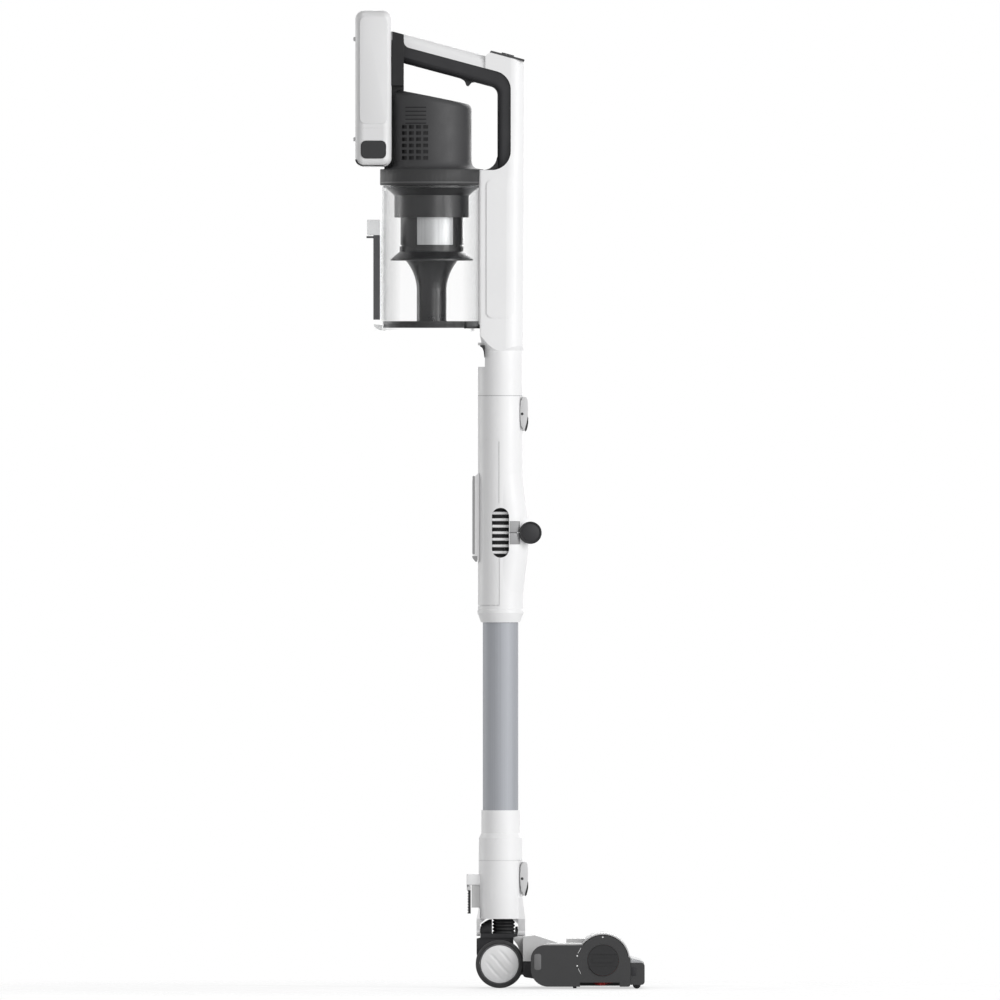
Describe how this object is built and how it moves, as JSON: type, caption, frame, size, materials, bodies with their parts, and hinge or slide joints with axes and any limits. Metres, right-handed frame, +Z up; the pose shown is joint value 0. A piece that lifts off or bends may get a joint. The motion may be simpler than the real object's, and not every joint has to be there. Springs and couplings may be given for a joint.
{
  "type": "cordless stick vacuum",
  "caption": "Upright cordless stick vacuum: hand unit with loop handle, clip-on battery and clear dust cup, folding wand, and swivel floor head with driven brush and wheels.",
  "frame": {"origin": "on the floor under the axis of the wand, which is under the middle of the bounding box", "axes": "+Z up along the wand, +X forward towards the nose of the floor head, +Y to the left of a user who stands behind it"},
  "size_m": [0.3378, 0.2615, 1.1338],
  "materials": {
    "white_plastic": "satin white moulding",
    "dark_plastic": "matte dark moulding",
    "grey_plastic": "matte dark grey moulding",
    "light_plastic": "matte light grey moulding",
    "clear_plastic": "clear moulding",
    "steel": "bare steel",
    "rubber": "black rubber",
    "tube_finish": "satin blue-grey tube",
    "filter_felt": "felt",
    "rotor_metal": "machined",
    "cell_wrap": "sleeved cells",
    "bristle_fibre": "stiff red fibre"
  },
  "bodies": {
    "hand_unit": {"spine_housing": "white_plastic", "inlet_seal": "rubber", "handle_shell": "white_plastic", "grip_frame": "dark_plastic", "control_panel": "dark_plastic", "battery_rail": "dark_plastic", "motor_housing": "grey_plastic", "motor_collar": "dark_plastic", "dust_filter": "filter_felt", "suction_motor": "steel"},
    "trigger": {"trigger": "dark_plastic"},
    "mode_button": {"mode_button": "grey_plastic"},
    "fan_rotor": {"fan_rotor": "rotor_metal"},
    "battery": {"battery_case": "white_plastic", "battery_end_cap": "white_plastic", "battery_pack": "cell_wrap"},
    "battery_button_left": {"battery_button_left": "dark_plastic"},
    "battery_button_right": {"battery_button_right": "dark_plastic"},
    "dust_cup": {"dust_cup": "clear_plastic", "cyclone": "grey_plastic", "mesh_screen": "steel", "lid_hinge_pin": "steel"},
    "cup_lid": {"cup_lid": "clear_plastic", "lid_gasket": "rubber"},
    "lid_slider": {"lid_slider": "grey_plastic", "slider_tab": "clear_plastic"},
    "wand_upper": {"wand_upper": "white_plastic", "fold_cover": "white_plastic", "wand_pins": "dark_plastic", "fold_brackets_upper": "grey_plastic", "fold_hose": "rubber"},
    "upper_rocker": {"upper_rocker": "light_plastic"},
    "fold_latch": {"fold_latch": "white_plastic"},
    "wand_lower": {"wand_lower": "white_plastic", "wand_tube": "tube_finish", "wand_coupling": "white_plastic", "fold_brackets_lower": "grey_plastic"},
    "neck": {"neck": "white_plastic", "neck_pins": "steel", "neck_clip": "grey_plastic", "neck_hose": "rubber"},
    "lower_rocker": {"lower_rocker": "light_plastic"},
    "clip_lever": {"clip_lever": "dark_plastic"},
    "yoke": {"yoke": "dark_plastic"},
    "floor_head": {"head_base": "dark_plastic", "head_cover": "light_plastic", "head_fairing": "light_plastic", "side_plates": "dark_plastic", "head_bumper": "dark_plastic", "head_lens": "clear_plastic", "axle_stubs": "steel", "brush_drive": "steel"},
    "wheel_left": {"wheel_left": "rubber"},
    "wheel_right": {"wheel_right": "rubber"},
    "end_cap": {"end_cap": "dark_plastic"},
    "brush": {"brush_roll": "dark_plastic", "brush_bristles": "bristle_fibre"},
    "motor_pulley": {"motor_pulley": "steel"},
    "roller_left": {"roller_left": "dark_plastic"},
    "roller_right": {"roller_right": "dark_plastic"}
  },
  "joints": [
    {"name": "trigger_press", "type": "slide", "parent": "hand_unit", "child": "trigger", "axis": [0.2588, 0, 0.9659], "range_m": [0, 0.0035], "stiffness_N_per_m": 400, "springref_m": -0.002},
    {"name": "mode_press", "type": "slide", "parent": "hand_unit", "child": "mode_button", "axis": [-0.2588, 0, -0.9659], "range_m": [0, 0.001], "stiffness_N_per_m": 800, "springref_m": -0.001},
    {"name": "fan_spin", "type": "hinge", "parent": "hand_unit", "child": "fan_rotor", "pos_m": [-0.0798, 0, 0.968], "axis": [0, 0, 1], "continuous": true},
    {"name": "battery_lift", "type": "slide", "parent": "hand_unit", "child": "battery", "axis": [0, 0, 1], "range_m": [0, 0.17]},
    {"name": "button_left_press", "type": "slide", "parent": "battery", "child": "battery_button_left", "axis": [0, 1, 0], "range_m": [0, 0.0015], "stiffness_N_per_m": 800, "springref_m": -0.001},
    {"name": "button_right_press", "type": "slide", "parent": "battery", "child": "battery_button_right", "axis": [0, -1, 0], "range_m": [0, 0.0015], "stiffness_N_per_m": 800, "springref_m": -0.001},
    {"name": "cup_pull", "type": "slide", "parent": "hand_unit", "child": "dust_cup", "axis": [-0.8, 0, -0.6], "range_m": [0, 0.15]},
    {"name": "lid_swing", "type": "hinge", "parent": "dust_cup", "child": "cup_lid", "pos_m": [-0.0325, 0, 0.7638], "axis": [0, -1, 0], "range_deg": [0, 75]},
    {"name": "slider_push", "type": "slide", "parent": "dust_cup", "child": "lid_slider", "axis": [0, 0, -1], "range_m": [0, 0.005], "stiffness_N_per_m": 300, "springref_m": -0.003},
    {"name": "wand_pull", "type": "slide", "parent": "hand_unit", "child": "wand_upper", "axis": [0, 0, -1], "range_m": [0, 0.06]},
    {"name": "upper_rocker_press", "type": "hinge", "parent": "wand_upper", "child": "upper_rocker", "pos_m": [0.0251, 0, 0.6659], "axis": [0, 1, 0], "range_deg": [0, 5], "stiffness_Nm_per_rad": 0.1, "springref_deg": -5.73},
    {"name": "latch_slide", "type": "slide", "parent": "wand_upper", "child": "fold_latch", "axis": [0, 0, 1], "range_m": [0, 0.006], "stiffness_N_per_m": 300, "springref_m": -0.002},
    {"name": "fold", "type": "hinge", "parent": "wand_upper", "child": "wand_lower", "pos_m": [0.0348, 0, 0.528], "axis": [0, -1, 0], "range_deg": [0, 90], "deforming": ["fold_hose"]},
    {"name": "neck_pull", "type": "slide", "parent": "wand_lower", "child": "neck", "axis": [0, 0, -1], "range_m": [0, 0.06]},
    {"name": "lower_rocker_press", "type": "hinge", "parent": "neck", "child": "lower_rocker", "pos_m": [0.0251, 0, 0.1266], "axis": [0, 1, 0], "range_deg": [0, 5], "stiffness_Nm_per_rad": 0.1, "springref_deg": -5.73},
    {"name": "clip_flip", "type": "hinge", "parent": "neck", "child": "clip_lever", "pos_m": [-0.0364, 0, 0.1166], "axis": [0, 1, 0], "range_deg": [0, 25], "stiffness_Nm_per_rad": 0.05, "springref_deg": -5.73},
    {"name": "swivel", "type": "hinge", "parent": "neck", "child": "yoke", "pos_m": [0, 0, 0.066], "axis": [1, 0, 0], "range_deg": [-35, 35], "deforming": ["neck_hose"]},
    {"name": "tilt", "type": "hinge", "parent": "yoke", "child": "floor_head", "pos_m": [-0.001, 0, 0.0278], "axis": [0, 1, 0], "range_deg": [0, 75]},
    {"name": "wheel_left_spin", "type": "hinge", "parent": "floor_head", "child": "wheel_left", "pos_m": [-0.001, -0.042, 0.0278], "axis": [0, 1, 0], "continuous": true},
    {"name": "wheel_right_spin", "type": "hinge", "parent": "floor_head", "child": "wheel_right", "pos_m": [-0.001, 0.042, 0.0278], "axis": [0, 1, 0], "continuous": true},
    {"name": "end_cap_twist", "type": "hinge", "parent": "floor_head", "child": "end_cap", "pos_m": [0.1188, -0.128, 0.033], "axis": [0, 1, 0], "range_deg": [0, 40]},
    {"name": "brush_spin", "type": "hinge", "parent": "floor_head", "child": "brush", "pos_m": [0.1188, 0, 0.033], "axis": [0, 1, 0], "continuous": true},
    {"name": "pulley_spin", "type": "hinge", "parent": "floor_head", "child": "motor_pulley", "pos_m": [0.068, 0.117, 0.033], "axis": [0, 1, 0], "continuous": true},
    {"name": "roller_left_spin", "type": "hinge", "parent": "floor_head", "child": "roller_left", "pos_m": [0.1578, -0.092, 0.0046], "axis": [0, 1, 0], "continuous": true},
    {"name": "roller_right_spin", "type": "hinge", "parent": "floor_head", "child": "roller_right", "pos_m": [0.1578, 0.092, 0.0046], "axis": [0, 1, 0], "continuous": true}
  ],
  "couplings": [
    {"joint": "pulley_spin", "follows": "brush_spin", "ratio": 2.1667}
  ]
}
